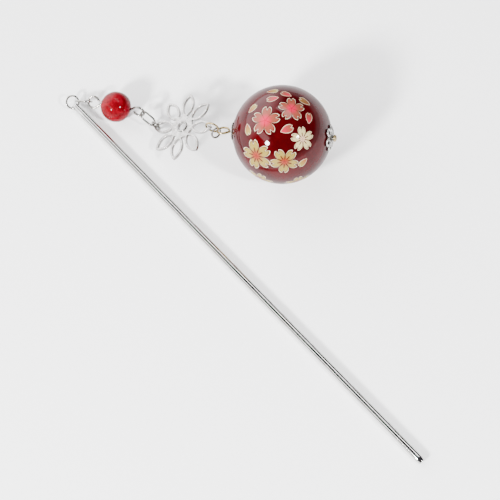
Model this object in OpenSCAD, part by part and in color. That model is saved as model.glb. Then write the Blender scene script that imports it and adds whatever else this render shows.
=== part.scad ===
// Hair stick with a dangling charm: a plain round stick, then a chain of rings, a bead on a wire pin,
// an openwork flower, and a large ball between two bead caps on a second wire pin.
// Frame: origin on the stick's axis, where the round shaft leaves its flattened head. +X runs to the
// tip, +Z is up, and the table that the whole piece lies on touches the stick at Z = -stick_d / 2.

/* [Stick] */
// Length of the stick, end to end
stick_len = 130; // [110:1:160]
// Diameter of the shaft
stick_d = 2; // [1.8:0.1:2.2]
// Thickness across the flats of the head
head_t = 1.5; // [1.3:0.1:1.6]
// Diameter of the eye drilled through the flats
eye_d = 1; // [1:0.05:1.1]
// Length of the taper at the tip
tip_len = 1.2; // [0.6:0.1:3]

/* [Rings and links] */
// Wire diameter of the rings and links
ring_wire_d = 0.5; // [0.4:0.05:0.5]
// Outside diameter of the two large rings
large_ring_d = 3.8; // [3.6:0.1:4.2]
// Outside diameter of the two small rings
small_ring_d = 3.1; // [3:0.1:3.4]
// Outside length of an oval link
oval_len = 5; // [4.6:0.1:5.6]
// Outside width of an oval link
oval_w = 3.2; // [3:0.1:3.4]

/* [Beads] */
// Diameter of the small bead
bead_d = 8; // [6:0.5:8]
// Diameter of the ball
ball_d = 25; // [20:1:25]
// Wire diameter of the two pins
pin_wire_d = 0.6; // [0.5:0.05:0.6]
// Outside diameter of the loops that are turned in the pins
loop_d = 3.6; // [3.4:0.1:4]
// Number of scallops round a bead cap
cap_petals = 6; // [5:1:7]

/* [Flower] */
// Number of petals
petals = 8; // [6:2:10]
// Distance from the flower's centre to a petal's tip
flower_r = 9.2; // [8.6:0.1:10]
// Width of one petal
petal_w = 3.6; // [3.2:0.1:3.8]
// Width of the rim round a petal's opening
rim_w = 0.6; // [0.5:0.05:0.7]
// Thickness of the flower's plate
plate_t = 0.7; // [0.5:0.05:0.8]

/* [Lay of the chain] */
// Each lay is heading, rise and roll in degrees: the way a link's length points, and its turn about it.
// Lay of the ring in the stick's eye
stick_ring_lay = [180, 33, 0]; // [-180:0.5:180]
// Way round the stick ring, from its far side, to where the next link hangs
stick_ring_hook = -118.5; // [-180:0.5:180]
// Lay of the link after the stick ring
drop_link_lay = [31.5, 24.5, 121.5]; // [-180:0.5:180]
// Lay of the small bead's pin and its first loop
bead_pin_lay = [31, 7.4, 35]; // [-180:0.5:180]
// Roll of the small bead's second loop
bead_loop_roll = 78.5; // [-180:0.5:180]
// Way round the second loop to where the next link hangs
bead_loop_hook = -36.5; // [-60:0.5:60]
// Lay of the link after the small bead
chain_link_lay = [17, -30, -25.5]; // [-180:0.5:180]
// Lay of the small ring that holds the flower
flower_ring_lay = [9, -44, 92]; // [-180:0.5:180]
// Way round that ring to where the flower hangs
flower_ring_hook = 75; // [-90:0.5:90]
// Lay of the flower, along the petals that hold it
flower_lay = [29.5, 30, 9.5]; // [-180:0.5:180]
// Lay of the large ring at the flower's far petal
petal_ring_lay = [30, 15, 84.5]; // [-180:0.5:180]
// Way round that ring to where the last ring hangs
petal_ring_hook = -78; // [-90:0.5:90]
// Lay of the small ring before the ball
hook_ring_lay = [27, -62.5, 25]; // [-180:0.5:180]
// Way round that ring to where the ball's pin hangs
hook_ring_hook = 72.5; // [-120:0.5:120]
// Lay of the ball's pin and loop
ball_pin_lay = [36, 13.4, -31]; // [-180:0.5:180]

/* [Hidden] */

$fn = 64;

// Stick: the head narrows a little towards its rounded end
head_len = 4;
head_narrow = 0.2;
head_end_d = stick_d - head_narrow;
head_round_r = head_end_d / 2 + head_narrow / 4;
eye_x = -3.15;
tip_end_d = 1.5;

// Rings and links: r values are of the wire's centreline
large_ring_r = (large_ring_d - ring_wire_d) / 2;
small_ring_r = (small_ring_d - ring_wire_d) / 2;
oval_r = (oval_w - ring_wire_d) / 2;
oval_straight = (oval_len - oval_w) / 2;
play = 0.12;
ring_pitch = ring_wire_d + play;
loop_pitch = (ring_wire_d + pin_wire_d) / 2 + play;

// Pins: a loop's wire leaves its circle along a tangent and meets the pin's axis at bend_x, measured
// from the loop's centre. A small ball covers each join of two runs, which end just short of it.
loop_r = (loop_d - pin_wire_d) / 2;
loop_open = 22;
bend_angle = 42;
bend_x = loop_r / sin(bend_angle);
bend_gap = 0.1;
join_d = 1.2 * pin_wire_d;
join_gap = pin_wire_d / 4;

// Small bead
bead_r = bead_d / 2;
bead_hole_d = pin_wire_d + 0.3;
bead_reach = bead_r + bend_gap;

// Ball and caps: a cap is a thin shell that follows the ball
ball_r = ball_d / 2;
ball_hole_d = pin_wire_d + 0.4;
cap_gap = 0.1;
cap_t = 0.5;
cap_in_r = ball_r + cap_gap;
cap_out_r = cap_in_r + cap_t;
cap_disc_r = 2.5;
cap_lobe_at = 2.35;
cap_lobe_r = 1.05;
cap_hole_r = 0.5;
cap_boss_r = 0.95;
cap_boss_h = 0.3;
ball_reach = cap_out_r + cap_boss_h + bend_gap;
head_r = 0.9;
head_h = 0.7;

// Flower: a petal is the lens where two circles overlap, and its opening is the same lens made smaller
petal_base = 2.7;
petal_half_len = (flower_r - petal_base) / 2;
petal_mid = flower_r - petal_half_len;
petal_arc_r = (pow(petal_half_len, 2) + pow(petal_w / 2, 2)) / petal_w;
petal_arc_off = petal_arc_r - petal_w / 2;
opening_half_len = sqrt(pow(petal_arc_r - rim_w, 2) - pow(petal_arc_off, 2));
petal_tip_mid = (petal_mid + opening_half_len + flower_r) / 2;
petal_pitch = 1.1;
hub_r = 3.1;
hub_hole_r = 1.05;
collar_r = 1.55;
collar_h = 0.3;

// Turns
function turn_x(a) = [[1, 0, 0], [0, cos(a), -sin(a)], [0, sin(a), cos(a)]];
function turn_y(a) = [[cos(a), 0, sin(a)], [0, 1, 0], [-sin(a), 0, cos(a)]];
function turn_z(a) = [[cos(a), -sin(a), 0], [sin(a), cos(a), 0], [0, 0, 1]];
function turn(lay) = turn_z(lay[0]) * turn_y(-lay[1]) * turn_x(lay[2]);
function along(lay) = turn(lay) * [1, 0, 0];
// Where the next link hangs on a link's wire
function hook(centre, lay, r, straight, way) =
    centre + turn(lay) * [straight + r * cos(way), r * sin(way), 0];
// Centre of a link that hangs on a hook: its near end lies inside the hook, one pitch back
function hang(at, lay, pitch, reach) = at + along(lay) * (reach - pitch);

// The chain, link by link: each centre follows from the hook before it
eye_at = [eye_x, 0, 0];
stick_ring_at = eye_at + along(stick_ring_lay) * large_ring_r;
hook_1 = hook(stick_ring_at, stick_ring_lay, large_ring_r, 0, stick_ring_hook);
drop_link_at = hang(hook_1, drop_link_lay, ring_pitch, oval_r + oval_straight);
hook_2 = hook(drop_link_at, drop_link_lay, oval_r, oval_straight, 0);
bead_loop_at = hang(hook_2, bead_pin_lay, loop_pitch, loop_r);
bead_at = bead_loop_at + along(bead_pin_lay) * (bend_x + bead_reach);
far_loop_lay = [bead_pin_lay[0], bead_pin_lay[1], bead_loop_roll];
far_loop_at = bead_at + along(bead_pin_lay) * (bend_x + bead_reach);
hook_3 = hook(far_loop_at, far_loop_lay, loop_r, 0, bead_loop_hook);
chain_link_at = hang(hook_3, chain_link_lay, loop_pitch, oval_r + oval_straight);
hook_4 = hook(chain_link_at, chain_link_lay, oval_r, oval_straight, 0);
flower_ring_at = hang(hook_4, flower_ring_lay, ring_pitch, small_ring_r);
hook_5 = hook(flower_ring_at, flower_ring_lay, small_ring_r, 0, flower_ring_hook);
flower_at = hang(hook_5, flower_lay, petal_pitch, petal_tip_mid);
hook_6 = hook(flower_at, flower_lay, petal_tip_mid, 0, 0);
petal_ring_at = hang(hook_6, petal_ring_lay, petal_pitch, large_ring_r);
hook_7 = hook(petal_ring_at, petal_ring_lay, large_ring_r, 0, petal_ring_hook);
hook_ring_at = hang(hook_7, hook_ring_lay, ring_pitch, small_ring_r);
hook_8 = hook(hook_ring_at, hook_ring_lay, small_ring_r, 0, hook_ring_hook);
ball_loop_at = hang(hook_8, ball_pin_lay, loop_pitch, loop_r);
ball_at = ball_loop_at + along(ball_pin_lay) * (bend_x + ball_reach);

module put(at, lay)
    translate(at)
        rotate([0, 0, lay[0]])
            rotate([0, -lay[1], 0])
                rotate([lay[2], 0, 0])
                    children();

// A straight wire between two points of the XY plane
module wire_between(from, to, d)
    translate([from[0], from[1], 0])
        rotate([0, 90, atan2(to[1] - from[1], to[0] - from[0])])
            cylinder(d = d, h = norm(to - from));

module round_ring(r)
    rotate_extrude()
        translate([r, 0])
            circle(d = ring_wire_d);

// An oval link: two half rings joined by two straight runs, its length along X
module oval_link() {
    for (side = [0, 180])
        rotate([0, 0, side]) {
            translate([oval_straight, 0, 0])
                rotate_extrude(angle = 180, start = -90)
                    translate([oval_r, 0])
                        circle(d = ring_wire_d);
            wire_between([-oval_straight, oval_r], [oval_straight, oval_r], ring_wire_d);
        }
}

// A straight run of a pin between two joins, and the ball that covers a join
module pin_run(from, to) {
    way = (to - from) / norm(to - from);
    wire_between(from + join_gap * way, to - join_gap * way, pin_wire_d);
}

module pin_join(at)
    translate([at[0], at[1], 0])
        sphere(d = join_d);

// A loop turned in a pin's wire. Its centre is the origin, and its bead is on the +X side.
module eye_loop() {
    leave = loop_r * [sin(bend_angle), -cos(bend_angle)];
    short = join_gap / loop_r * 180 / PI;
    rotate_extrude(angle = 270 - loop_open + bend_angle - short, start = loop_open)
        translate([loop_r, 0])
            circle(d = pin_wire_d);
    pin_join(leave);
    pin_run(leave, [bend_x, 0]);
    pin_join([bend_x, 0]);
}

module stick() {
    tip_x = stick_len - head_len;
    round_x = head_round_r - head_len;
    color("gainsboro")
        difference() {
            union() {
                rotate([0, 90, 0])
                    cylinder(d = stick_d, h = tip_x - tip_len);
                translate([tip_x - tip_len, 0, 0])
                    rotate([0, 90, 0])
                        cylinder(d1 = stick_d, d2 = tip_end_d, h = tip_len);
                // the head's cone, cut round at its end about an axis that runs with the eye
                intersection() {
                    translate([-head_len, 0, 0])
                        rotate([0, 90, 0])
                            cylinder(d1 = head_end_d, d2 = stick_d, h = head_len);
                    union() {
                        translate([round_x, stick_d, 0])
                            rotate([90, 0, 0])
                                cylinder(r = head_round_r, h = 2 * stick_d);
                        translate([round_x, -stick_d, -stick_d])
                            cube([head_len, 2 * stick_d, 2 * stick_d]);
                    }
                }
            }
            // the flats
            for (side = [0, 180])
                rotate([side, 0, 0])
                    translate([-head_len - 1, head_t / 2, -stick_d])
                        cube([head_len + 1, stick_d, 2 * stick_d]);
            // the eye
            translate([eye_x, stick_d, 0])
                rotate([90, 0, 0])
                    cylinder(d = eye_d, h = 2 * stick_d);
        }
}

module stick_ring()
    color("silver")
        put(stick_ring_at, stick_ring_lay)
            round_ring(large_ring_r);

module drop_link()
    color("silver")
        put(drop_link_at, drop_link_lay)
            oval_link();

module bead_pin()
    color("silver")
        put(bead_loop_at, bead_pin_lay) {
            eye_loop();
            pin_run([bend_x, 0], [bend_x + 2 * bead_reach, 0]);
            translate([2 * (bend_x + bead_reach), 0, 0])
                rotate([bead_loop_roll - bead_pin_lay[2], 0, 0])
                    rotate([0, 0, 180])
                        eye_loop();
        }

module red_bead()
    color("crimson")
        put(bead_at, bead_pin_lay)
            rotate([0, 90, 0])
                difference() {
                    sphere(r = bead_r);
                    cylinder(d = bead_hole_d, h = bead_d, center = true);
                }

module chain_link()
    color("silver")
        put(chain_link_at, chain_link_lay)
            oval_link();

module flower_ring()
    color("silver")
        put(flower_ring_at, flower_ring_lay)
            round_ring(small_ring_r);

// The lens where two circles of radius arc_r overlap
module lens(arc_r)
    intersection() {
        translate([0, petal_arc_off])
            circle(r = arc_r);
        translate([0, -petal_arc_off])
            circle(r = arc_r);
    }

module petal_blade()
    linear_extrude(plate_t, center = true)
        difference() {
            lens(petal_arc_r);
            lens(petal_arc_r - rim_w);
        }

module flower()
    color("whitesmoke")
        put(flower_at, flower_lay)
            difference() {
                union() {
                    for (i = [0 : petals - 1])
                        rotate([0, 0, i * 360 / petals])
                            translate([petal_mid, 0, 0])
                                petal_blade();
                    cylinder(r = hub_r, h = plate_t, center = true);
                    cylinder(r = collar_r, h = plate_t / 2 + collar_h);
                }
                cylinder(r = hub_hole_r, h = 2 * (plate_t + collar_h), center = true);
            }

module petal_ring()
    color("silver")
        put(petal_ring_at, petal_ring_lay)
            round_ring(large_ring_r);

module hook_ring()
    color("silver")
        put(hook_ring_at, hook_ring_lay)
            round_ring(small_ring_r);

module ball_pin()
    color("silver") {
        reach = bend_x + 2 * ball_reach;
        put(ball_loop_at, ball_pin_lay) {
            eye_loop();
            pin_run([bend_x, 0], [reach + head_h, 0]);
            // the head at the wire's far end
            translate([reach, 0, 0])
                rotate([0, 90, 0])
                    cylinder(r1 = head_r, r2 = head_r / 2, h = head_h);
        }
    }

// A bead cap on the +Z pole of the ball: a pierced, scalloped shell with a boss round its hole
module bead_cap()
    difference() {
        union() {
            intersection() {
                difference() {
                    sphere(r = cap_out_r);
                    sphere(r = cap_in_r);
                }
                union() {
                    cylinder(r = cap_disc_r, h = ball_d);
                    for (i = [0 : cap_petals - 1])
                        rotate([0, 0, i * 360 / cap_petals])
                            translate([cap_lobe_at, 0, 0])
                                cylinder(r = cap_lobe_r, h = ball_d);
                }
            }
            translate([0, 0, cap_in_r + cap_t / 2])
                cylinder(r = cap_boss_r, h = cap_t / 2 + cap_boss_h);
        }
        cylinder(d = ball_hole_d, h = ball_d);
        for (i = [0 : cap_petals - 1])
            rotate([0, 0, i * 360 / cap_petals])
                translate([cap_lobe_at, 0, 0])
                    cylinder(r = cap_hole_r, h = ball_d);
    }

module inner_cap()
    color("silver")
        put(ball_at, ball_pin_lay)
            rotate([0, -90, 0])
                bead_cap();

module ball()
    color("darkred")
        put(ball_at, ball_pin_lay)
            rotate([0, 90, 0])
                difference() {
                    sphere(r = ball_r);
                    cylinder(d = ball_hole_d, h = 2 * ball_d, center = true);
                }

module outer_cap()
    color("silver")
        put(ball_at, ball_pin_lay)
            rotate([0, 90, 0])
                bead_cap();

stick();
stick_ring();
drop_link();
bead_pin();
red_bead();
chain_link();
flower_ring();
flower();
petal_ring();
hook_ring();
ball_pin();
inner_cap();
ball();
outer_cap();
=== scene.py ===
"""Hair stick with a dangling charm: fine meshes and materials over its CAD frame.

A floor, lights and a camera are added. Lengths are in millimetres until a mesh is made, and MM
turns them into metres. Every piece is built in its own frame, its length along X, and is then put
at its place with a lay of heading, rise and roll.
"""

import math

import bmesh
import bpy
from mathutils import Matrix, Vector


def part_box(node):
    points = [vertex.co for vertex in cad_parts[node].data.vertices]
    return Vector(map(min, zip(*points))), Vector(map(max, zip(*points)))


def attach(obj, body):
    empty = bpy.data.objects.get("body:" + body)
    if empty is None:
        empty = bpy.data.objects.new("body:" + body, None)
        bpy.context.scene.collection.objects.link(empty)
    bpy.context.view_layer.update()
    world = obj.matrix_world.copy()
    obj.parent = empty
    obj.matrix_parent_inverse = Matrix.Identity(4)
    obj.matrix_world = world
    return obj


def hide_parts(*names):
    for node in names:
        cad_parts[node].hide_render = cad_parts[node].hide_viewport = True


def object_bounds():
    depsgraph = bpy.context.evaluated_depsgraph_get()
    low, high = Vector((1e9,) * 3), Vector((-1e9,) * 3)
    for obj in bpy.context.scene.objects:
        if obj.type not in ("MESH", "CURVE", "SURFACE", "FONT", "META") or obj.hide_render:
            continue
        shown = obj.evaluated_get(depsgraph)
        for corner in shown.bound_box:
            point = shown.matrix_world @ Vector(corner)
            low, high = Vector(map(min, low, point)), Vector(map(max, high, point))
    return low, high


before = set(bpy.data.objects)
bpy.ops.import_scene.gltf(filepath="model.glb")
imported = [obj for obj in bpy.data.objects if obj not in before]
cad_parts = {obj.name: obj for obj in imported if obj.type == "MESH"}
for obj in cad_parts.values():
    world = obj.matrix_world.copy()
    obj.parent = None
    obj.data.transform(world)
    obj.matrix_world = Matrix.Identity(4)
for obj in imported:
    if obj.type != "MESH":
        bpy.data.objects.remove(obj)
cad_bounds = [list(corner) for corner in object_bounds()]

MM = 0.001

# Sizes, as in the CAD
STICK_R = 1.0
STICK_FROM = -4.0
STICK_TO = 126.0
HEAD_HALF_T = 0.75
HEAD_END_R = 0.9
HEAD_ROUND_R = 0.95
EYE_X = -3.15
EYE_R = 0.5
TIP_LEN = 1.2
TIP_END_R = 0.75

RING_WIRE_R = 0.25
LARGE_RING_R = 1.65
SMALL_RING_R = 1.3
OVAL_R = 1.35
OVAL_HALF_STRAIGHT = 0.9

PIN_WIRE_R = 0.3
LOOP_R = 1.5
LOOP_OPEN = 22
LOOP_BEND = 42
BEND_X = LOOP_R / math.sin(math.radians(LOOP_BEND))
BEND_FILLET = 0.55
PIN_HEAD_R = 0.9
PIN_HEAD_H = 0.7

BEAD_R = 4.0
BEAD_HOLE_R = 0.45
BEAD_REACH = 4.1

BALL_R = 12.5
BALL_HOLE_R = 0.5
BALL_REACH = 13.5
CAP_IN_R = 12.6
CAP_DISC_R = 2.5
CAP_LOBES = 6
CAP_LOBE_AT = 2.35
CAP_LOBE_R = 1.05
CAP_HOLE_R = 0.5
CAP_BOSS_R = 0.95

PETALS = 8
FLOWER_R = 9.2
PETAL_W = 3.6
PETAL_BASE = 2.7
RIM_W = 0.6
PLATE_T = 0.7
HUB_R = 3.1
HUB_HOLE_R = 1.05
COLLAR_R = 1.55
COLLAR_H = 0.3

# Lays, as in the CAD: heading, rise and roll in degrees
LAYS = {
    "stick_ring": (180, 33, 0),
    "drop_link": (31.5, 24.5, 121.5),
    "bead_pin": (31, 7.4, 35),
    "chain_link": (17, -30, -25.5),
    "flower_ring": (9, -44, 92),
    "flower": (29.5, 30, 9.5),
    "petal_ring": (30, 15, 84.5),
    "hook_ring": (27, -62.5, 25),
    "ball_pin": (36, 13.4, -31),
}
BEAD_LOOP_ROLL = 78.5

# The camera: where it stands round the object, how far off, and what it looks at
CAMERA_AZIMUTH = 48
CAMERA_ELEVATION = 66
CAMERA_DISTANCE = 360
CAMERA_LENS = 102.64
CAMERA_TARGET = (57.75, 6.76, -1.0)

# How far under the object's lowest point the floor lies, in metres
FLOOR_GAP = 0.00002


# ---------------------------------------------------------------- places


def lay_matrix(lay, at):
    heading, rise, roll = (math.radians(a) for a in lay)
    turn = Matrix.Rotation(heading, 4, "Z") @ Matrix.Rotation(-rise, 4, "Y")
    return Matrix.Translation(at) @ turn @ Matrix.Rotation(roll, 4, "X")


def facing_axes(azimuth_deg, elevation_deg):
    """Right, up and outward directions of a side that faces that azimuth and elevation."""
    azimuth, elevation = math.radians(azimuth_deg), math.radians(elevation_deg)
    out = Vector(
        (
            math.sin(azimuth) * math.cos(elevation),
            -math.cos(azimuth) * math.cos(elevation),
            math.sin(elevation),
        )
    )
    right = Vector((math.cos(azimuth), math.sin(azimuth), 0))
    return right, out.cross(right), out


def middle(node):
    low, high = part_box(node)
    return (low + high) / 2


def along(lay, length):
    """A step of that length, in millimetres, in the direction a lay points."""
    return lay_matrix(lay, (0, 0, 0)).to_3x3() @ Vector((length * MM, 0, 0))


BEAD_AT = middle("red_bead")
BALL_AT = middle("ball")
BEAD_LOOP_AT = BEAD_AT - along(LAYS["bead_pin"], BEND_X + BEAD_REACH)
BALL_LOOP_AT = BALL_AT - along(LAYS["ball_pin"], BEND_X + BALL_REACH)


# ---------------------------------------------------------------- meshes


def new_object(name, data):
    obj = bpy.data.objects.new(name, data)
    bpy.context.scene.collection.objects.link(obj)
    return obj


def mesh_object(name, verts, faces, smooth=True):
    mesh = bpy.data.meshes.new(name)
    mesh.from_pydata([tuple(c * MM for c in v) for v in verts], [], faces)
    mesh.validate()
    mesh.update()
    obj = new_object(name, mesh)
    if smooth:
        mesh.polygons.foreach_set("use_smooth", [True] * len(mesh.polygons))
    return obj


def settle(obj):
    """Applies an object's modifiers."""
    bpy.context.view_layer.update()
    made = bpy.data.meshes.new_from_object(
        obj.evaluated_get(bpy.context.evaluated_depsgraph_get())
    )
    obj.modifiers.clear()
    old = obj.data
    obj.data = made
    bpy.data.meshes.remove(old)
    return obj


def smooth_by_angle(obj, degrees):
    """Smooth shading, with the edges sharper than the angle kept sharp."""
    mesh = obj.data
    work = bmesh.new()
    work.from_mesh(mesh)
    limit = math.radians(degrees)
    for face in work.faces:
        face.smooth = True
    for edge in work.edges:
        edge.smooth = len(edge.link_faces) == 2 and edge.calc_face_angle(0) < limit
    work.to_mesh(mesh)
    work.free()
    return obj


def sweep(name, path, radius, sides=20, closed=False, dome=0.35):
    """A round wire along a path. An open wire ends in slightly domed faces."""
    points = [Vector(p) for p in path]
    count = len(points)
    tangents = []
    for i in range(count):
        before = points[i - 1] if closed or i > 0 else points[i]
        after = points[(i + 1) % count] if closed or i < count - 1 else points[i]
        tangents.append((after - before).normalized())
    start = Vector((0, 0, 1))
    if abs(start.dot(tangents[0])) > 0.9:
        start = Vector((0, 1, 0))
    normal = (start - tangents[0] * start.dot(tangents[0])).normalized()
    rings = []
    for i in range(count):
        tangent = tangents[i]
        normal = (normal - tangent * normal.dot(tangent)).normalized()
        rings.append((points[i], tangent, normal, 1.0))
    if not closed:
        rounded = []
        for share, narrow in ((1.0, 0.55), (0.75, 0.82), (0.35, 0.96)):
            rounded.append((share * dome * radius, narrow))
        first, last = rings[0], rings[-1]
        head = [(first[0] - first[1] * s, first[1], first[2], n) for s, n in rounded]
        tail = [(last[0] + last[1] * s, last[1], last[2], n) for s, n in rounded]
        rings = head + rings + tail[::-1]
    verts, faces = [], []
    for at, tangent, normal, share in rings:
        side = tangent.cross(normal)
        for k in range(sides):
            turn = 2 * math.pi * k / sides
            verts.append(
                at + (normal * math.cos(turn) + side * math.sin(turn)) * radius * share
            )
    total = len(rings)
    for i in range(total if closed else total - 1):
        a, b = i * sides, ((i + 1) % total) * sides
        for k in range(sides):
            n = (k + 1) % sides
            faces.append((a + k, a + n, b + n, b + k))
    if not closed:
        faces.append(tuple(range(sides))[::-1])
        faces.append(tuple((total - 1) * sides + k for k in range(sides)))
    return mesh_object(name, verts, faces)


def lathe(name, profile, segments=128, closed=False):
    """A profile of (along, radius) turned about X. An open profile's ends get a flat face each."""
    verts, faces = [], []
    for x, r in profile:
        for k in range(segments):
            turn = 2 * math.pi * k / segments
            verts.append((x, r * math.cos(turn), r * math.sin(turn)))
    rows = len(profile)
    for i in range(rows if closed else rows - 1):
        a, b = i * segments, ((i + 1) % rows) * segments
        for k in range(segments):
            n = (k + 1) % segments
            faces.append((a + k, b + k, b + n, a + n))
    if not closed:
        faces.append(tuple(range(segments)))
        faces.append(tuple((rows - 1) * segments + k for k in range(segments))[::-1])
    return mesh_object(name, verts, faces)


def outward(obj):
    """Turns every face outward."""
    work = bmesh.new()
    work.from_mesh(obj.data)
    bmesh.ops.recalc_face_normals(work, faces=work.faces)
    work.to_mesh(obj.data)
    work.free()
    return obj


def cut(obj, cutter):
    """Takes one closed mesh out of another."""
    knife = obj.modifiers.new("cut", "BOOLEAN")
    knife.operation = "DIFFERENCE"
    knife.solver = "EXACT"
    knife.object = cutter
    settle(obj)
    bpy.data.objects.remove(cutter)
    return obj


def join(name, parts):
    """Several meshes as one object, left where they are."""
    work = bmesh.new()
    for part in parts:
        start = len(work.verts)
        work.from_mesh(part.data)
        work.verts.ensure_lookup_table()
        bmesh.ops.transform(work, matrix=part.matrix_world, verts=work.verts[start:])
        bpy.data.objects.remove(part)
    mesh = bpy.data.meshes.new(name)
    work.to_mesh(mesh)
    work.free()
    return new_object(name, mesh)


def arc(centre, radius, start, end, steps):
    """Points of an arc in the XY plane, its angles in degrees."""
    out = []
    for i in range(steps + 1):
        turn = math.radians(start + (end - start) * i / steps)
        out.append(
            (
                centre[0] + radius * math.cos(turn),
                centre[1] + radius * math.sin(turn),
                0,
            )
        )
    return out


# ---------------------------------------------------------------- the stick


def stick_radius(x):
    """Radius of the round section at x: the head's cone, the shaft, then the tip's taper."""
    if x < 0:
        return HEAD_END_R + (STICK_R - HEAD_END_R) * (x - STICK_FROM) / -STICK_FROM
    taper_from = STICK_TO - TIP_LEN
    if x <= taper_from:
        return STICK_R
    share = (x - taper_from) / TIP_LEN
    return STICK_R - (STICK_R - TIP_END_R) * share**1.35


def stick_flat(x):
    """Half the thickness across the flats at x. They run out in a short ramp at the shoulder."""
    ramp_from, ramp_to = -0.7, 0.0
    if x <= ramp_from:
        return HEAD_HALF_T
    if x >= ramp_to:
        return STICK_R
    share = (x - ramp_from) / (ramp_to - ramp_from)
    return HEAD_HALF_T + (STICK_R - HEAD_HALF_T) * share * share * (3 - 2 * share)


def make_stick():
    segments = 96
    round_steps, fine_step, long_step, tip_steps = 14, 0.06, 2, 12
    unlimited = STICK_R * 2
    # stations along the stick: (x, half the height left by the head's round end)
    stations = []
    round_x = STICK_FROM + HEAD_ROUND_R
    for i in range(1, round_steps + 1):
        turn = math.pi / 2 * i / round_steps
        stations.append(
            (
                round_x - HEAD_ROUND_R * math.cos(turn),
                HEAD_ROUND_R * math.sin(turn),
            )
        )
    x = round_x
    while x < 0.3:
        x += fine_step
        stations.append((x, unlimited))
    while x < STICK_TO - TIP_LEN - long_step:
        x += long_step
        stations.append((x, unlimited))
    for i in range(tip_steps + 1):
        tip_x = STICK_TO - TIP_LEN + (TIP_LEN - 0.06) * i / tip_steps
        stations.append((tip_x, unlimited))
    verts, faces = [], []
    for x, reach in stations:
        radius, flat = stick_radius(x), stick_flat(x)
        for k in range(segments):
            turn = 2 * math.pi * k / segments
            y, z = radius * math.cos(turn), radius * math.sin(turn)
            y = soft_limit(y, flat, 0.05)
            z = soft_limit(z, reach, 0.02)
            verts.append((x, y, z))
    # the tip's end face, with a small softened edge
    for x, share in ((STICK_TO - 0.015, 0.985), (STICK_TO, 0.93)):
        for k in range(segments):
            turn = 2 * math.pi * k / segments
            verts.append(
                (
                    x,
                    TIP_END_R * share * math.cos(turn),
                    TIP_END_R * share * math.sin(turn),
                )
            )
    rows = len(stations) + 2
    for i in range(rows - 1):
        for k in range(segments):
            n = (k + 1) % segments
            a, b = i * segments, (i + 1) * segments
            faces.append((a + k, b + k, b + n, a + n))
    faces.append(tuple(range(segments)))
    faces.append(tuple((rows - 1) * segments + k for k in range(segments))[::-1])
    stick = outward(mesh_object("stick_visual", verts, faces))
    # the eye, wider outside the flats, so that its edges are softened
    drill = lathe(
        "drill",
        [
            (-1.2, EYE_R + 0.5),
            (-0.75, EYE_R + 0.1),
            (-0.66, EYE_R),
            (0.66, EYE_R),
            (0.75, EYE_R + 0.1),
            (1.2, EYE_R + 0.5),
        ],
        48,
    )
    outward(drill)
    drill.matrix_world = Matrix.Translation((EYE_X * MM, 0, 0)) @ Matrix.Rotation(
        math.pi / 2, 4, "Z"
    )
    bpy.context.view_layer.update()
    cut(stick, drill)
    return smooth_by_angle(stick, 38)


def soft_limit(value, limit, softness):
    """Holds a value inside a limit, with a small rounded shoulder."""
    size = abs(value)
    if size <= limit - softness:
        return value
    over = size - (limit - softness)
    held = limit - softness + softness * (1 - math.exp(-over / softness))
    return math.copysign(min(held, size), value)


# ---------------------------------------------------------------- rings, links and pins


def make_jump_ring(name, radius, seam_at):
    """A ring bent from cut wire, its two ends pressed together with a hairline between them."""
    # the hairline in degrees, and how far out of line each end springs
    gap, end_spring = 1.1, 0.022
    steps = 96
    path = []
    for i in range(steps + 1):
        share = i / steps
        turn = math.radians(seam_at + gap / 2 + (360 - gap) * share)
        spring = end_spring * (2 * share - 1) ** 7
        path.append((radius * math.cos(turn), radius * math.sin(turn), spring))
    return sweep(name, path, RING_WIRE_R, sides=24, dome=0.06)


def make_oval_link(name):
    path = arc((OVAL_HALF_STRAIGHT, 0), OVAL_R, -90, 90, 40)
    path += [(OVAL_HALF_STRAIGHT * (1 - i / 4), OVAL_R, 0) for i in range(1, 8)]
    path += arc((-OVAL_HALF_STRAIGHT, 0), OVAL_R, 90, 270, 40)
    path += [(-OVAL_HALF_STRAIGHT * (1 - i / 4), -OVAL_R, 0) for i in range(1, 8)]
    return sweep(name, path, RING_WIRE_R, sides=24, closed=True)


def loop_path():
    """A loop turned in a pin's wire, from its cut end to a rounded bend on the pin's axis."""
    path = arc((0, 0), LOOP_R, LOOP_OPEN, 270 + LOOP_BEND, 84)
    bend = math.radians(LOOP_BEND)
    leave = Vector(path[-1])
    corner = Vector((BEND_X, 0, 0))
    back = BEND_FILLET * math.tan(bend / 2)
    way = (corner - leave).normalized()
    run_to = corner - way * back
    for i in range(1, 5):
        path.append(tuple(leave + (run_to - leave) * i / 5))
    side = Vector((-way.y, way.x, 0))
    centre = run_to - side * BEND_FILLET
    start = math.degrees(math.atan2(side.y, side.x))
    path += arc(centre, BEND_FILLET, start, start - LOOP_BEND, 8)
    return path


def make_bead_pin():
    """One wire: a loop, the run through the bead, and a second loop rolled about the axis."""
    near = [Vector(p) for p in loop_path()]
    reach = 2 * (BEND_X + BEAD_REACH)
    roll = Matrix.Rotation(
        math.radians(BEAD_LOOP_ROLL - LAYS["bead_pin"][2]), 3, "X"
    )
    far = []
    for p in near:
        q = roll @ Vector((-p.x, -p.y, p.z))
        far.append(q + Vector((reach, 0, 0)))
    run = [
        Vector((near[-1].x + (far[-1].x - near[-1].x) * i / 24, 0, 0))
        for i in range(1, 24)
    ]
    return sweep("bead_pin_visual", near + run + far[::-1], PIN_WIRE_R, sides=24)


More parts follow.
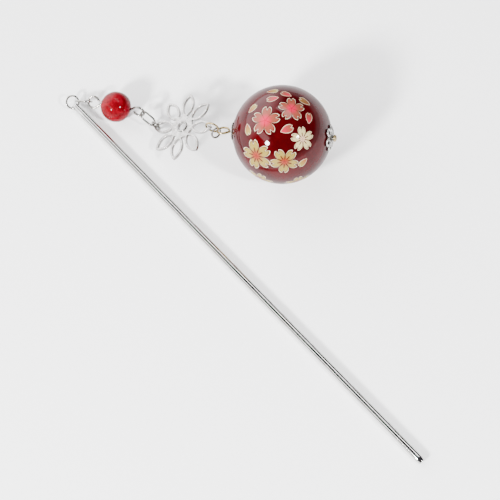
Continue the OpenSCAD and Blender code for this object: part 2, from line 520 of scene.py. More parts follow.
def make_ball_pin():
    """One wire: a loop, the run through the ball, and a small domed head."""
    near = [Vector(p) for p in loop_path()]
    reach = BEND_X + 2 * BALL_REACH
    run = [Vector((near[-1].x + (reach - near[-1].x) * i / 40, 0, 0)) for i in range(1, 41)]
    wire = sweep("ball_pin_wire", near + run, PIN_WIRE_R, sides=24, dome=0.2)
    profile = [(reach, 0.05), (reach, PIN_HEAD_R - 0.08), (reach + 0.05, PIN_HEAD_R)]
    for i in range(13):
        turn = math.pi / 2 * i / 12
        profile.append(
            (
                reach + 0.14 + (PIN_HEAD_H - 0.14) * math.sin(turn),
                0.02 + (PIN_HEAD_R - 0.02) * math.cos(turn),
            )
        )
    head = lathe("ball_pin_head", profile, 64)
    return outward(join("ball_pin_visual", [wire, head]))


# ---------------------------------------------------------------- beads


def make_drilled_sphere(name, radius, hole_r, segments, rows):
    """A sphere with a hole along X, the hole's edges a little rounded."""
    round_off = 0.12
    edge = math.degrees(math.asin((hole_r + round_off) / radius))
    profile = []
    for i in range(rows + 1):
        turn = math.radians(180 - edge - (180 - 2 * edge) * i / rows)
        profile.append((radius * math.cos(turn), radius * math.sin(turn)))
    rim_x = profile[-1][0]
    bore = [
        (rim_x - 0.03, hole_r + 0.04),
        (rim_x - round_off, hole_r),
        (0.5 * rim_x, hole_r),
    ]
    profile += bore + [(-x, r) for x, r in bore[::-1]]
    return outward(lathe(name, profile, segments, closed=True))


# ---------------------------------------------------------------- the flower and the caps


def outline_object(name, outlines, thickness, bevel):
    """A flat plate from closed outlines, the inner ones being openings, with every edge rounded."""
    curve = bpy.data.curves.new(name, "CURVE")
    curve.dimensions = "2D"
    curve.fill_mode = "BOTH"
    curve.extrude = (thickness / 2 - bevel) * MM
    curve.bevel_depth = bevel * MM
    curve.bevel_resolution = 3
    curve.offset = -bevel * MM
    for outline in outlines:
        spline = curve.splines.new("POLY")
        spline.points.add(len(outline) - 1)
        for point, (x, y) in zip(spline.points, outline):
            point.co = (x * MM, y * MM, 0, 1)
        spline.use_cyclic_u = True
    raw = new_object(name, curve)
    bpy.context.view_layer.update()
    mesh = bpy.data.meshes.new_from_object(
        raw.evaluated_get(bpy.context.evaluated_depsgraph_get())
    )
    bpy.data.objects.remove(raw)
    obj = new_object(name, mesh)
    work = bmesh.new()
    work.from_mesh(mesh)
    bmesh.ops.remove_doubles(work, verts=work.verts, dist=0.002 * MM)
    bmesh.ops.recalc_face_normals(work, faces=work.faces)
    work.to_mesh(mesh)
    work.free()
    return obj


PETAL_HALF = (FLOWER_R - PETAL_BASE) / 2
PETAL_MID = FLOWER_R - PETAL_HALF
PETAL_ARC_R = (PETAL_HALF**2 + (PETAL_W / 2) ** 2) / PETAL_W
PETAL_ARC_OFF = PETAL_ARC_R - PETAL_W / 2


def lens_edge(arc_r, steps):
    """The upper edge of the lens where two circles overlap, from its inner tip to its outer tip."""
    half = math.sqrt(arc_r**2 - PETAL_ARC_OFF**2)
    out = []
    for i in range(steps + 1):
        x = -half * math.cos(math.pi * i / steps)
        y = max(math.sqrt(max(arc_r**2 - x * x, 0)) - PETAL_ARC_OFF, 0)
        out.append((PETAL_MID + x, y))
    return out


def turned(point, degrees):
    turn = math.radians(degrees)
    return (
        point[0] * math.cos(turn) - point[1] * math.sin(turn),
        point[0] * math.sin(turn) + point[1] * math.cos(turn),
    )


def make_flower():
    steps = 48
    edge = [p for p in lens_edge(PETAL_ARC_R, steps) if math.hypot(*p) > HUB_R + 0.01]
    pitch = 360 / PETALS
    outer = []
    for i in range(PETALS):
        low = [(x, -y) for x, y in edge]
        for p in low + edge[::-1][1:]:
            outer.append(turned(p, i * pitch))
        leave = math.degrees(math.atan2(edge[0][1], edge[0][0]))
        for k in range(1, 6):
            at = leave + (pitch - 2 * leave) * k / 6
            outer.append(turned((HUB_R, 0), i * pitch + at))
    outlines = [outer]
    inner = lens_edge(PETAL_ARC_R - RIM_W, steps)
    for i in range(PETALS):
        ring = inner + [(x, -y) for x, y in inner[::-1][1:-1]]
        outlines.append([turned(p, i * pitch) for p in ring])
    outlines.append([turned((HUB_HOLE_R + 0.15, 0), a * 5) for a in range(72)])
    plate = outline_object("flower_plate", outlines, PLATE_T, 0.09)
    half = PLATE_T / 2
    top = half + COLLAR_H
    wall = (COLLAR_R - HUB_HOLE_R) / 2
    profile = [(-half + 0.02, HUB_HOLE_R + 0.08), (-half + 0.1, HUB_HOLE_R)]
    profile.append((top - wall * 0.8, HUB_HOLE_R))
    for i in range(1, 12):
        turn = math.pi * i / 12
        profile.append(
            (
                top - wall * 0.8 * (1 - math.sin(turn)),
                HUB_HOLE_R + wall - wall * math.cos(turn),
            )
        )
    profile.append((top - wall * 0.8, COLLAR_R))
    profile.append((half - 0.15, COLLAR_R + 0.04))
    profile.append((-half + 0.02, COLLAR_R - 0.1))
    collar = outward(lathe("flower_collar", profile, 96, closed=True))
    collar.matrix_world = Matrix.Rotation(-math.pi / 2, 4, "Y")
    bpy.context.view_layer.update()
    return smooth_by_angle(join("flower_visual", [plate, collar]), 40)


def make_cap(name):
    """A pierced, scalloped bead cap, cast in one and then bent to the ball. Its pole is +X."""
    steps = 20
    plate_t, boss_top, rim_wire_r, grain_r, voxel = 0.34, 0.36, 0.13, 0.26, 0.045
    half_t = plate_t / 2
    reach = CAP_LOBE_AT
    pitch = 360 / CAP_LOBES
    # where a lobe's circle meets the disc's
    meet = math.degrees(
        math.acos(
            (CAP_DISC_R**2 + reach**2 - CAP_LOBE_R**2) / (2 * CAP_DISC_R * reach)
        )
    )
    at = turned((CAP_DISC_R, 0), meet)
    open_by = math.degrees(math.atan2(at[1], at[0] - reach))
    outer = []
    for i in range(CAP_LOBES):
        for x, y, _ in arc((reach, 0), CAP_LOBE_R, -open_by, open_by, steps):
            outer.append(turned((x, y), i * pitch))
        for k in range(1, 4):
            between = meet + (pitch - 2 * meet) * k / 4
            outer.append(turned((CAP_DISC_R, 0), i * pitch + between))
    outlines = [outer]
    for i in range(CAP_LOBES):
        hole = [(x, y) for x, y, _ in arc((reach, 0), CAP_HOLE_R, 0, 345, 23)]
        outlines.append([turned(p, i * pitch) for p in hole])
        slot = [
            (x, y * 0.62) for x, y, _ in arc((1.42, 0), 0.3, 0, 345, 23)
        ]
        outlines.append([turned(p, (i + 0.5) * pitch) for p in slot])
    outlines.append([turned((BALL_HOLE_R, 0), a * 10) for a in range(36)])
    parts = [outline_object(name + "_plate", outlines, plate_t, 0.05)]
    # raised wire round every hole, and grains between the lobes
    for i in range(CAP_LOBES):
        centre = turned((reach, 0), i * pitch)
        rim = arc(centre, CAP_HOLE_R + 0.24, 0, 350, 35)
        rim_path = [(x, y, 0.16) for x, y, _ in rim]
        parts.append(sweep("rim", rim_path, rim_wire_r, 12, closed=True))
        grain = turned((CAP_DISC_R - 0.28, 0), (i + 0.5) * pitch)
        ball = lathe(
            "grain",
            [
                (grain_r * math.cos(math.radians(a)), grain_r * math.sin(math.radians(a)))
                for a in range(175, 4, -10)
            ],
            16,
        )
        ball.matrix_world = Matrix.Translation(
            (grain[0] * MM, grain[1] * MM, half_t * MM)
        )
        parts.append(outward(ball))
    boss = [(-half_t, BALL_HOLE_R), (boss_top, BALL_HOLE_R)]
    wall = (CAP_BOSS_R - BALL_HOLE_R) / 2
    for i in range(1, 8):
        turn = math.pi * i / 8
        boss.append(
            (
                boss_top + half_t * math.sin(turn),
                BALL_HOLE_R + wall - wall * math.cos(turn),
            )
        )
    boss += [(boss_top, CAP_BOSS_R), (-half_t, CAP_BOSS_R)]
    ring = outward(lathe("boss", boss, 64, closed=True))
    ring.matrix_world = Matrix.Rotation(-math.pi / 2, 4, "Y")
    parts.append(ring)
    bpy.context.view_layer.update()
    cap = join(name, parts)
    # cast as one skin
    cast = cap.modifiers.new("cast", "REMESH")
    cast.mode = "VOXEL"
    cast.voxel_size = voxel * MM
    cast.use_smooth_shade = True
    settle(cap)
    soften = cap.modifiers.new("soften", "SMOOTH")
    soften.factor = 0.5
    soften.iterations = 2
    settle(cap)
    # bent to the ball: a point keeps its distance from the axis, and its height adds to the
    # radius, with a little air under the plate
    base = CAP_IN_R + half_t + 0.02
    for vertex in cap.data.vertices:
        x, y, z = (c / MM for c in vertex.co)
        flat = math.hypot(x, y)
        radius = base + z
        angle = math.asin(min(flat / base, 1))
        scale = radius * math.sin(angle) / flat if flat else 0
        vertex.co = Vector((radius * math.cos(angle), x * scale, y * scale)) * MM
    outward(cap)
    cap.data.polygons.foreach_set("use_smooth", [True] * len(cap.data.polygons))
    return cap


# ---------------------------------------------------------------- shader helpers


class Nodes:
    """Short ways to add shader nodes to one tree."""

    def __init__(self, tree):
        self.tree = tree

    def add(self, kind, **settings):
        node = self.tree.nodes.new(kind)
        for key, value in settings.items():
            setattr(node, key, value)
        return node

    def link(self, source, target):
        self.tree.links.new(source, target)

    def feed(self, value, socket):
        """Links a socket, or sets a value."""
        if isinstance(value, bpy.types.NodeSocket):
            self.link(value, socket)
        else:
            socket.default_value = value

    def math(self, operation, a, b=0.0):
        node = self.add("ShaderNodeMath", operation=operation)
        for value, socket in zip((a, b), node.inputs):
            self.feed(value, socket)
        return node.outputs[0]

    def dot(self, a, b):
        node = self.add("ShaderNodeVectorMath", operation="DOT_PRODUCT")
        self.feed(a, node.inputs[0])
        self.feed(b, node.inputs[1])
        return node.outputs["Value"]

    def between(self, value, low, high, to_low=0.0, to_high=1.0, smooth=False):
        node = self.add("ShaderNodeMapRange")
        node.interpolation_type = "SMOOTHSTEP" if smooth else "LINEAR"
        for item, socket in zip((value, low, high, to_low, to_high), node.inputs):
            self.feed(item, socket)
        return node.outputs[0]

    def mix(self, factor, a, b, kind="MIX"):
        node = self.add("ShaderNodeMix", data_type="RGBA", blend_type=kind)
        self.feed(factor, node.inputs[0])
        self.feed(a, node.inputs[6])
        self.feed(b, node.inputs[7])
        return node.outputs[2]

    def place(self, scale=(1, 1, 1)):
        """The object's own coordinates, in metres times scale."""
        where = self.add("ShaderNodeTexCoord")
        mapping = self.add("ShaderNodeMapping")
        mapping.inputs["Scale"].default_value = scale
        self.link(where.outputs["Object"], mapping.inputs["Vector"])
        return mapping.outputs["Vector"]

    def noise(self, vector, scale=1.0, detail=3.0, rough=0.5, warp=0.0):
        node = self.add("ShaderNodeTexNoise")
        self.link(vector, node.inputs["Vector"])
        node.inputs["Scale"].default_value = scale
        node.inputs["Detail"].default_value = detail
        node.inputs["Roughness"].default_value = rough
        node.inputs["Distortion"].default_value = warp
        return node.outputs["Fac"]

    def bump(self, height, strength, distance, under=None):
        node = self.add("ShaderNodeBump")
        node.inputs["Strength"].default_value = strength
        node.inputs["Distance"].default_value = distance
        self.link(height, node.inputs["Height"])
        if under is not None:
            self.link(under, node.inputs["Normal"])
        return node.outputs["Normal"]


def material(name):
    """A new material: (it, its node helper, its principled shader)."""
    made = bpy.data.materials.new(name)
    made.use_nodes = True
    tree = made.node_tree
    return made, Nodes(tree), tree.nodes["Principled BSDF"]


def metal(name, light, dark, rough, grain, grain_scale, scratch, scratch_depth):
    """Plated or polished metal: a little uneven in tone, finely scratched and faintly wavy."""
    made, n, shader = material(name)
    shader.inputs["Metallic"].default_value = 1.0
    tone = n.noise(n.place(), 900, 2, 0.5)
    tint = n.between(tone, 0.35, 0.7)
    n.link(n.mix(tint, (*light, 1), (*dark, 1)), shader.inputs["Base Color"])
    fine = n.noise(n.place(scratch), 1.0, 4, 0.65)
    wear = n.noise(n.place(), grain_scale, 3, 0.6)
    rough_low = n.between(fine, 0.3, 0.75, rough, rough + grain)
    n.link(
        n.math("ADD", rough_low, n.between(wear, 0.45, 0.8, 0.0, grain)),
        shader.inputs["Roughness"],
    )
    wavy = n.bump(wear, 0.25, 0.00002)
    n.link(n.bump(fine, scratch_depth, 0.00001, wavy), shader.inputs["Normal"])
    return made


steel = metal(
    "polished_steel",
    light=(0.56, 0.55, 0.54),
    dark=(0.46, 0.45, 0.44),
    rough=0.05,
    grain=0.03,
    grain_scale=1800,
    scratch=(260, 9000, 9000),
    scratch_depth=0.30,
)
wire = metal(
    "plated_wire",
    light=(0.30, 0.288, 0.272),
    dark=(0.13, 0.122, 0.110),
    rough=0.13,
    grain=0.08,
    grain_scale=2600,
    scratch=(5200, 5200, 5200),
    scratch_depth=0.22,
)
warm_wire = metal(
    "plated_wire_warm",
    light=(0.42, 0.335, 0.185),
    dark=(0.20, 0.140, 0.062),
    rough=0.13,
    grain=0.08,
    grain_scale=2600,
    scratch=(5200, 5200, 5200),
    scratch_depth=0.22,
)
petal_metal = metal(
    "plated_flower",
    light=(0.34, 0.33, 0.32),
    dark=(0.20, 0.192, 0.182),
    rough=0.20,
    grain=0.08,
    grain_scale=2200,
    scratch=(1400, 7000, 7000),
    scratch_depth=0.25,
)


def make_cap_metal():
    """Plated casting with dark tarnish left in its hollows."""
    made = metal(
        "plated_cap",
        light=(0.62, 0.61, 0.59),
        dark=(0.36, 0.35, 0.33),
        rough=0.18,
        grain=0.12,
        grain_scale=3200,
        scratch=(6000, 6000, 6000),
        scratch_depth=0.35,
    )
    n = Nodes(made.node_tree)
    shader = made.node_tree.nodes["Principled BSDF"]
    clean = shader.inputs["Base Color"].links[0].from_socket
    shade = n.add("ShaderNodeAmbientOcclusion", samples=8)
    shade.inputs["Distance"].default_value = 0.0014
    deep = n.between(shade.outputs["AO"], 0.60, 1.0)
    n.link(
        n.mix(deep, (0.030, 0.026, 0.022, 1), clean), shader.inputs["Base Color"]
    )
    return made


cap_metal = make_cap_metal()


def make_stone():
    """Translucent red stone with cloudy veins."""
    made, n, shader = material("red_stone")
    cloud = n.noise(n.place(), 420, 4, 0.62, 1.1)
    fleck = n.noise(n.place(), 1500, 3, 0.6, 0.4)
    veins = n.between(cloud, 0.36, 0.66, smooth=True)
    body = n.mix(veins, (0.085, 0.0004, 0.0024, 1), (0.160, 0.0009, 0.0070, 1))
    body = n.mix(
        n.between(fleck, 0.58, 0.80, 0.0, 0.45), body, (0.25, 0.008, 0.018, 1)
    )
    n.link(body, shader.inputs["Base Color"])
    shader.inputs["Roughness"].default_value = 0.10
    n.link(n.between(fleck, 0.3, 0.8, 0.06, 0.14), shader.inputs["Roughness"])
    shader.inputs["IOR"].default_value = 1.45
    shader.inputs["Specular IOR Level"].default_value = 0.10
    shader.inputs["Subsurface Weight"].default_value = 0.2
    shader.inputs["Subsurface Radius"].default_value = (0.0022, 0.0003, 0.0003)
    shader.inputs["Subsurface Scale"].default_value = 1.0
    n.link(n.bump(fleck, 0.10, 0.00001), shader.inputs["Normal"])
    return made


stone = make_stone()


# ---------------------------------------------------------------- the ball's print
# Formulas draw a generic five-petalled blossom and a generic loose petal round a centre on the unit
# sphere, and the motifs are laid out one by one.


def curve_node(n, value, points):
    node = n.add("ShaderNodeFloatCurve")
    line = node.mapping.curves[0]
    while len(line.points) > 2:
        line.points.remove(line.points[1])
    line.points[0].location = points[0]
    line.points[1].location = points[-1]
    for x, y in points[1:-1]:
        line.points.new(x, y)
    node.mapping.update()
    n.feed(value, node.inputs["Value"])
    return node.outputs["Value"]


def blossom(n, u, v, petal, heart, stamens):
    """Five notched petals with a soft heart and fine stamens: (colour, how far inside its edge)."""
    radius = n.math(
        "SQRT", n.math("ADD", n.math("MULTIPLY", u, u), n.math("MULTIPLY", v, v))
    )
    turn = n.math("MULTIPLY", n.math("ARCTAN2", v, u), 5 / (2 * math.pi))
    share = n.math("PINGPONG", n.math("ADD", turn, 5.0), 0.5)
    off = n.math("MULTIPLY", share, 2.0)
    reach = curve_node(
        n,
        off,
        [
            (0.0, 0.75),
            (0.09, 0.86),
            (0.20, 1.0),
            (0.35, 0.98),
            (0.52, 0.91),
            (0.68, 0.80),
            (0.82, 0.66),
            (0.92, 0.53),
            (1.0, 0.38),
        ],
    )
    inside = n.math("SUBTRACT", reach, radius)
    # neighbouring petals meet in a crease
    gap = n.math("MULTIPLY", n.math("SUBTRACT", 1.0, off), radius)
    crease = n.between(gap, 0.0, 0.05)
    body = n.mix(n.between(radius, 0.10, 0.58, smooth=True), heart, petal)
    body = n.mix(
        1.0, body, n.mix(crease, (0.55, 0.30, 0.26, 1), (1, 1, 1, 1)), "MULTIPLY"
    )
    rays = n.math("PINGPONG", n.math("MULTIPLY", turn, 2.0), 0.5)
    stem = n.between(n.math("MULTIPLY", rays, radius), 0.052, 0.080, 1.0, 0.0)
    length = n.math(
        "MULTIPLY",
        n.between(radius, 0.18, 0.24),
        n.between(radius, 0.50, 0.56, 1.0, 0.0),
    )
    stamen = n.math("MULTIPLY", n.math("MULTIPLY", stem, length), stamens)
    body = n.mix(stamen, body, STAMEN)
    outline = n.math(
        "MULTIPLY",
        n.between(inside, 0.035, 0.065, 1.0, 0.0),
        n.between(gap, 0.0, 0.12),
    )
    inner_line = n.math(
        "MULTIPLY",
        n.between(inside, 0.05, 0.07),
        n.between(inside, 0.10, 0.15, 0.8, 0.0),
    )
    return n.mix(outline, n.mix(inner_line, body, STAMEN), OUTLINE), inside


def loose_petal(n, u, v, petal, heart):
    """One petal, pointed at one end and notched at the other: (colour, how far inside its edge)."""
    side = n.math("ABSOLUTE", v)
    width = curve_node(
        n,
        n.between(u, -1.0, 1.0),
        [
            (0.0, 0.0),
            (0.18, 0.30),
            (0.42, 0.55),
            (0.66, 0.62),
            (0.84, 0.52),
            (0.94, 0.34),
            (1.0, 0.12),
        ],
    )
    notch = n.math(
        "SUBTRACT", n.math("ADD", n.math("MULTIPLY", side, 1.9), 0.68), u
    )
    inside = n.math(
        "MINIMUM", n.math("SUBTRACT", width, side), n.math("MULTIPLY", notch, 0.6)
    )
    inside = n.math(
        "MINIMUM", inside, n.math("SUBTRACT", 1.0, n.math("ABSOLUTE", u))
    )
    body = n.mix(n.between(u, -0.9, 0.5), heart, petal)
    return n.mix(n.between(inside, 0.03, 0.11, 1.0, 0.0), body, OUTLINE), inside


# Paints: a petal's colour and its heart's, in linear light
PAINTS = [
    ((0.190, 0.044, 0.028, 1), (0.44, 0.004, 0.040, 1)),
    ((0.235, 0.170, 0.034, 1), (0.22, 0.022, 0.008, 1)),
    ((0.460, 0.380, 0.170, 1), (0.52, 0.36, 0.24, 1)),
    ((0.165, 0.080, 0.024, 1), (0.15, 0.034, 0.014, 1)),
]
PINK, CREAM, IVORY, BRONZE = range(4)
OUTLINE = (0.56, 0.44, 0.30, 1)
STAMEN = (0.045, 0.003, 0.002, 1)
EDGE_SHADOW = (0.007, 0.0003, 0.0005, 1)
LACQUER_DEEP = (0.030, 0.0004, 0.0011, 1)
LACQUER_CLEAR = (0.050, 0.0006, 0.0017, 1)

# The print's own directions on the ball: it faces the side that looks up at rest
PRINT_AZIMUTH = 45
PRINT_ELEVATION = 61.5

# Motifs: how far right and up round the ball from the middle of the print, in degrees, the
# motif's turn, its size as a share of the ball's radius, and its paint
BLOSSOMS = [
    (-21, 15, 90, 0.295, PINK),
    (11, 31, 88, 0.26, PINK),
    (-33, -26, 96, 0.325, CREAM),
    (5, -32, 126, 0.285, CREAM),
    (24, -4, 100, 0.24, IVORY),
    (-66, -64, 20, 0.28, CREAM),
    (64, -67, 75, 0.27, CREAM),
    (104, 46, 40, 0.27, CREAM),
    (-130, 66, 15, 0.28, CREAM),
    (150, 10, 30, 0.29, PINK),
    (176, -28, 85, 0.30, CREAM),
    (128, -42, 10, 0.26, IVORY),
    (-150, 22, 50, 0.27, CREAM),
    (178, 46, 65, 0.28, PINK),
    (-122, -16, 90, 0.28, PINK),
    (-112, 34, 70, 0.25, IVORY),
]
LOOSE_PETALS = [
    (-26, 58, 15, 0.120, CREAM),
    (4, 53, 150, 0.120, PINK),
    (-18, 44, 200, 0.125, PINK),
    (-44, 29, 60, 0.115, CREAM),
    (34, 42, 140, 0.130, BRONZE),
    (33, 20, 80, 0.120, PINK),
    (5, 6, 25, 0.135, PINK),
    (-43, 4, 290, 0.120, CREAM),
    (31, -32, 240, 0.115, CREAM),
    (-20, -85, 130, 0.120, PINK),
    (118, 14, 100, 0.110, PINK),
    (98, -34, 30, 0.110, BRONZE),
    (-98, 20, 200, 0.110, PINK),
    (90, 78, 60, 0.115, CREAM),
    (-94, -38, 20, 0.110, BRONZE),
    (160, -84, 45, 0.110, PINK),
    (-140, -76, 80, 0.115, IVORY),
    (150, -60, 20, 0.115, PINK),
    (-150, -20, 110, 0.120, BRONZE),
    (160, 74, 300, 0.115, PINK),
    (-140, 52, 200, 0.110, CREAM),
    (128, 4, 240, 0.110, IVORY),
    (-132, -52, 150, 0.115, PINK),
    (136, 58, 80, 0.110, CREAM),
]


def on_ball(right_deg, up_deg, turn_deg):
    """A motif's centre on the unit ball, and the direction of its first petal."""
    right, up, out = facing_axes(PRINT_AZIMUTH, PRINT_ELEVATION)
    a, e = math.radians(right_deg), math.radians(up_deg)
    centre = (right * math.sin(a) + out * math.cos(a)) * math.cos(e) + up * math.sin(e)
    across = (right * math.cos(a) - out * math.sin(a)).normalized()
    over = centre.cross(across).normalized()
    turn = math.radians(turn_deg)
    first = across * math.cos(turn) + over * math.sin(turn)
    return centre, first


def ramp(n, value, colours):
    """One of several colours, by a whole number from 0."""
    node = n.add("ShaderNodeValToRGB")
    node.color_ramp.interpolation = "CONSTANT"
    steps = node.color_ramp.elements
    steps[1].position = 1 / len(colours)
    for i in range(2, len(colours)):
        steps.new(i / len(colours))
    for step, colour in zip(steps, colours):
        step.color = colour
    n.link(n.math("DIVIDE", n.math("ADD", value, 0.5), len(colours)), node.inputs[0])
    return node.outputs["Color"]


def pick(n, factor, kept, new):
    """One vector or the other."""
    node = n.add("ShaderNodeMix", data_type="VECTOR")
    n.link(factor, node.inputs[0])
    n.feed(kept, node.inputs[4])
    n.feed(new, node.inputs[5])
    return node.outputs[1]


def make_lacquer():
    """Deep red lacquer with printed blossoms under a clear gloss coat.

    The motif nearest to a point is picked first, by how deep the point lies in the motif's circle.
    Its own frame then places one blossom or one loose petal there.
    """
    made, n, shader = material("printed_ball")
    where = n.add("ShaderNodeTexCoord")
    unit = n.add("ShaderNodeVectorMath", operation="NORMALIZE")
    n.link(where.outputs["Object"], unit.inputs[0])
    place = unit.outputs[0]
    best, centre, first, style = 0.0, (0, 0, 1), (1, 0, 0), (1, 0, 0)
    for i, (right, up, turn, size, paint) in enumerate(BLOSSOMS + LOOSE_PETALS):
        middle_at, across = on_ball(right, up, turn)
        edge = math.sqrt(1 - (1.15 * size) ** 2)
        depth = n.math(
            "SUBTRACT", n.dot(place, middle_at / (1 - edge)), edge / (1 - edge)
        )
        closer = n.math("GREATER_THAN", depth, best)
        best = n.math("MAXIMUM", depth, best)
        centre = pick(n, closer, centre, middle_at)
        first = pick(n, closer, first, across)
        style = pick(n, closer, style, (size, paint, float(i < len(BLOSSOMS))))
    second = n.add("ShaderNodeVectorMath", operation="CROSS_PRODUCT")
    n.link(centre, second.inputs[0])
    n.link(first, second.inputs[1])
    parts = n.add("ShaderNodeSeparateXYZ")
    n.link(style, parts.inputs[0])
    size, paint, full = parts.outputs
    u = n.math("DIVIDE", n.dot(place, first), size)
    v = n.math("DIVIDE", n.dot(place, second.outputs[0]), size)
    petal = ramp(n, paint, [petal for petal, _ in PAINTS])
    heart = ramp(n, paint, [heart for _, heart in PAINTS])
    stamens = n.math("GREATER_THAN", paint, 0.5)
    whole, whole_in = blossom(n, u, v, petal, heart, stamens)
    single, single_in = loose_petal(n, u, v, petal, heart)
    print_colour = n.mix(full, single, whole)
    inside = n.add("ShaderNodeMix", data_type="FLOAT")
    n.link(full, inside.inputs[0])
    n.link(single_in, inside.inputs[2])
    n.link(whole_in, inside.inputs[3])
    near = n.between(best, 0.0, 0.02)
    mask = n.math("MULTIPLY", n.between(inside.outputs[0], -0.008, 0.008), near)
    shade = n.math("MULTIPLY", n.between(inside.outputs[0], -0.10, -0.03, 0.0, 0.95), near)
    cloud = n.noise(n.place(), 160, 3, 0.55, 0.6)
    speck = n.noise(n.place(), 2600, 2, 0.5)
    ground = n.mix(
        n.between(cloud, 0.35, 0.7, smooth=True), LACQUER_DEEP, LACQUER_CLEAR
    )
    colour = n.mix(mask, n.mix(shade, ground, EDGE_SHADOW), print_colour)
    tinted = n.add("ShaderNodeVectorMath", operation="SCALE")
    n.link(colour, tinted.inputs[0])
    n.link(n.between(speck, 0.3, 0.8, 0.90, 1.08), tinted.inputs["Scale"])
    n.link(tinted.outputs[0], shader.inputs["Base Color"])
    n.link(n.between(speck, 0.3, 0.8, 0.30, 0.40), shader.inputs["Roughness"])
    shader.inputs["Specular IOR Level"].default_value = 0.0
    shader.inputs["Coat Weight"].default_value = 0.5
    shader.inputs["Coat Roughness"].default_value = 0.055
    shader.inputs["Coat IOR"].default_value = 1.42
    n.link(n.bump(cloud, 0.06, 0.0001), shader.inputs["Coat Normal"])
    return made


lacquer = make_lacquer()


# ---------------------------------------------------------------- the pieces


def dress(obj, node, body, paint, matrix=None):
    """Puts a piece in its place, on its body, in the stead of a CAD node."""
    if matrix is not None:
        obj.matrix_world = matrix
    obj.data.materials.clear()
    obj.data.materials.append(paint)
    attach(obj, body)
    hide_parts(node)


dress(make_stick(), "stick", "stick", steel)

for name, radius, seam, paint in (
    ("stick_ring", LARGE_RING_R, 60, wire),
    ("flower_ring", SMALL_RING_R, 200, wire),
    ("petal_ring", LARGE_RING_R, 140, warm_wire),
    ("hook_ring", SMALL_RING_R, 190, wire),
):
    ring = make_jump_ring(name + "_visual", radius, seam)
    dress(ring, name, name, paint, lay_matrix(LAYS[name], middle(name)))

for name in ("drop_link", "chain_link"):
    link = make_oval_link(name + "_visual")
    dress(link, name, name, wire, lay_matrix(LAYS[name], middle(name)))

dress(
    make_bead_pin(),
    "bead_pin",
    "bead_pin",
    wire,
    lay_matrix(LAYS["bead_pin"], BEAD_LOOP_AT),
)
dress(
    make_ball_pin(),
    "ball_pin",
    "ball_pin",
    warm_wire,
    lay_matrix(LAYS["ball_pin"], BALL_LOOP_AT),
)
dress(
    make_drilled_sphere("red_bead_visual", BEAD_R, BEAD_HOLE_R, 128, 72),
    "red_bead",
    "red_bead",
    stone,
    lay_matrix(LAYS["bead_pin"], BEAD_AT),
)
ball_mesh = make_drilled_sphere("ball_visual", BALL_R, BALL_HOLE_R, 192, 120)
# turned in its mesh, so that its own box is no wider than the ball
ball_mesh.data.transform(lay_matrix(LAYS["ball_pin"], (0, 0, 0)))
dress(ball_mesh, "ball", "ball", lacquer, Matrix.Translation(BALL_AT))
dress(
    make_flower(),
    "flower",
    "flower",
    petal_metal,
    lay_matrix(LAYS["flower"], middle("flower")),
)
ball_place = lay_matrix(LAYS["ball_pin"], BALL_AT)
dress(make_cap("outer_cap_visual"), "outer_cap", "outer_cap", cap_metal, ball_place)
dress(
    make_cap("inner_cap_visual"),
    "inner_cap",
    "inner_cap",
    cap_metal,
    ball_place @ Matrix.Rotation(math.pi, 4, "Z"),
)


# ---------------------------------------------------------------- floor, light and camera


def make_floor():
    """A wide sheet of white paper."""
    half = 1500
    floor = mesh_object(
        "floor",
        [(-half, -half, 0), (half, -half, 0), (half, half, 0), (-half, half, 0)],
        [(0, 1, 2, 3)],
        smooth=False,
    )
    floor.location = (0.06, 0.01, cad_bounds[0][2] - FLOOR_GAP)
    paper, n, shader = material("white_paper")
    fibre = n.noise(n.place(), 900, 4, 0.6)
    n.link(
        n.mix(n.between(fibre, 0.3, 0.7), (0.93, 0.93, 0.93, 1), (0.96, 0.96, 0.96, 1)),
        shader.inputs["Base Color"],
    )
    shader.inputs["Roughness"].default_value = 0.9
    shader.inputs["Specular IOR Level"].default_value = 0.1
    floor.data.materials.append(paper)


def make_light(name, direction, distance, size, power):
    """A round soft lamp, aimed at the middle of the object."""
    lamp = bpy.data.lights.new(name, "AREA")
    lamp.shape = "DISK"
    lamp.size = size
    lamp.energy = power
    obj = new_object(name, lamp)
    aim = Vector((0.045, 0.015, 0.0))
    obj.location = aim + Vector(direction).normalized() * distance
    obj.rotation_euler = (aim - obj.location).to_track_quat("-Z", "Y").to_euler()
    return obj


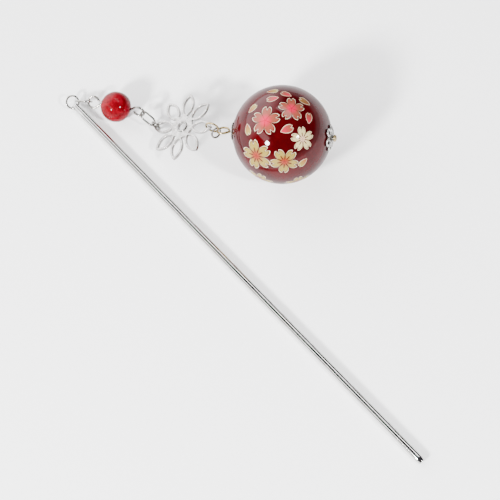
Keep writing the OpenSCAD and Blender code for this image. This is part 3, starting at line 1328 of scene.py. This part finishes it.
def make_world(window):
    """A pale room: white walls, a darker ceiling, and a window low on one side."""
    world = bpy.data.worlds.new("room")
    bpy.context.scene.world = world
    world.use_nodes = True
    n = Nodes(world.node_tree)
    back = world.node_tree.nodes["Background"]
    where = n.add("ShaderNodeTexCoord")
    split = n.add("ShaderNodeSeparateXYZ")
    n.link(where.outputs["Generated"], split.inputs[0])
    ceiling = n.between(split.outputs["Z"], 0.06, 0.26, smooth=True)
    walls = n.mix(ceiling, (0.55, 0.55, 0.55, 1), (0.030, 0.030, 0.034, 1))
    facing = n.dot(where.outputs["Generated"], window.normalized())
    glow = n.between(facing, 0.55, 0.95, smooth=True)
    n.link(n.mix(glow, walls, (3.0, 3.0, 3.05, 1)), back.inputs["Color"])
    back.inputs["Strength"].default_value = 2.8


def make_strip(name, angle, radiance):
    """A dim strip light along the stick, seen in it as one long line."""
    length, width, distance = 0.46, 0.15, 0.6
    lamp = make_light(name, (0, 0, 1), distance, length, 1.0)
    lamp.data.shape = "RECTANGLE"
    lamp.data.size_y = width
    lamp.data.energy = math.pi * length * width * radiance
    lean = math.radians(angle)
    lamp.location = (-0.14, math.sin(lean) * distance, math.cos(lean) * distance)
    lamp.rotation_euler = (-lean, 0, 0)


make_floor()
right, up, back = facing_axes(CAMERA_AZIMUTH, CAMERA_ELEVATION)
key_from = right * -0.56 + up * -0.36 + back * 0.75
fill_from = right * 0.57 + up * -0.12 + back * 0.81
make_light("key", key_from, distance=0.7, size=0.12, power=16.0)
make_light("fill", fill_from, distance=0.8, size=0.09, power=9.0)
make_strip("strip_near", angle=-50, radiance=7.0)
make_strip("strip_far", angle=24, radiance=8.0)
make_world(right * -0.75 + up * 0.62 + back * -0.05)

camera = bpy.data.cameras.new("camera")
camera.lens = CAMERA_LENS
camera.sensor_width = 36
camera.clip_start = 0.01
camera.clip_end = 20
eye = new_object("camera", camera)
eye.location = Vector(CAMERA_TARGET) * MM + back * (CAMERA_DISTANCE * MM)
eye.rotation_euler = (-back).to_track_quat("-Z", "Y").to_euler()
bpy.context.scene.camera = eye
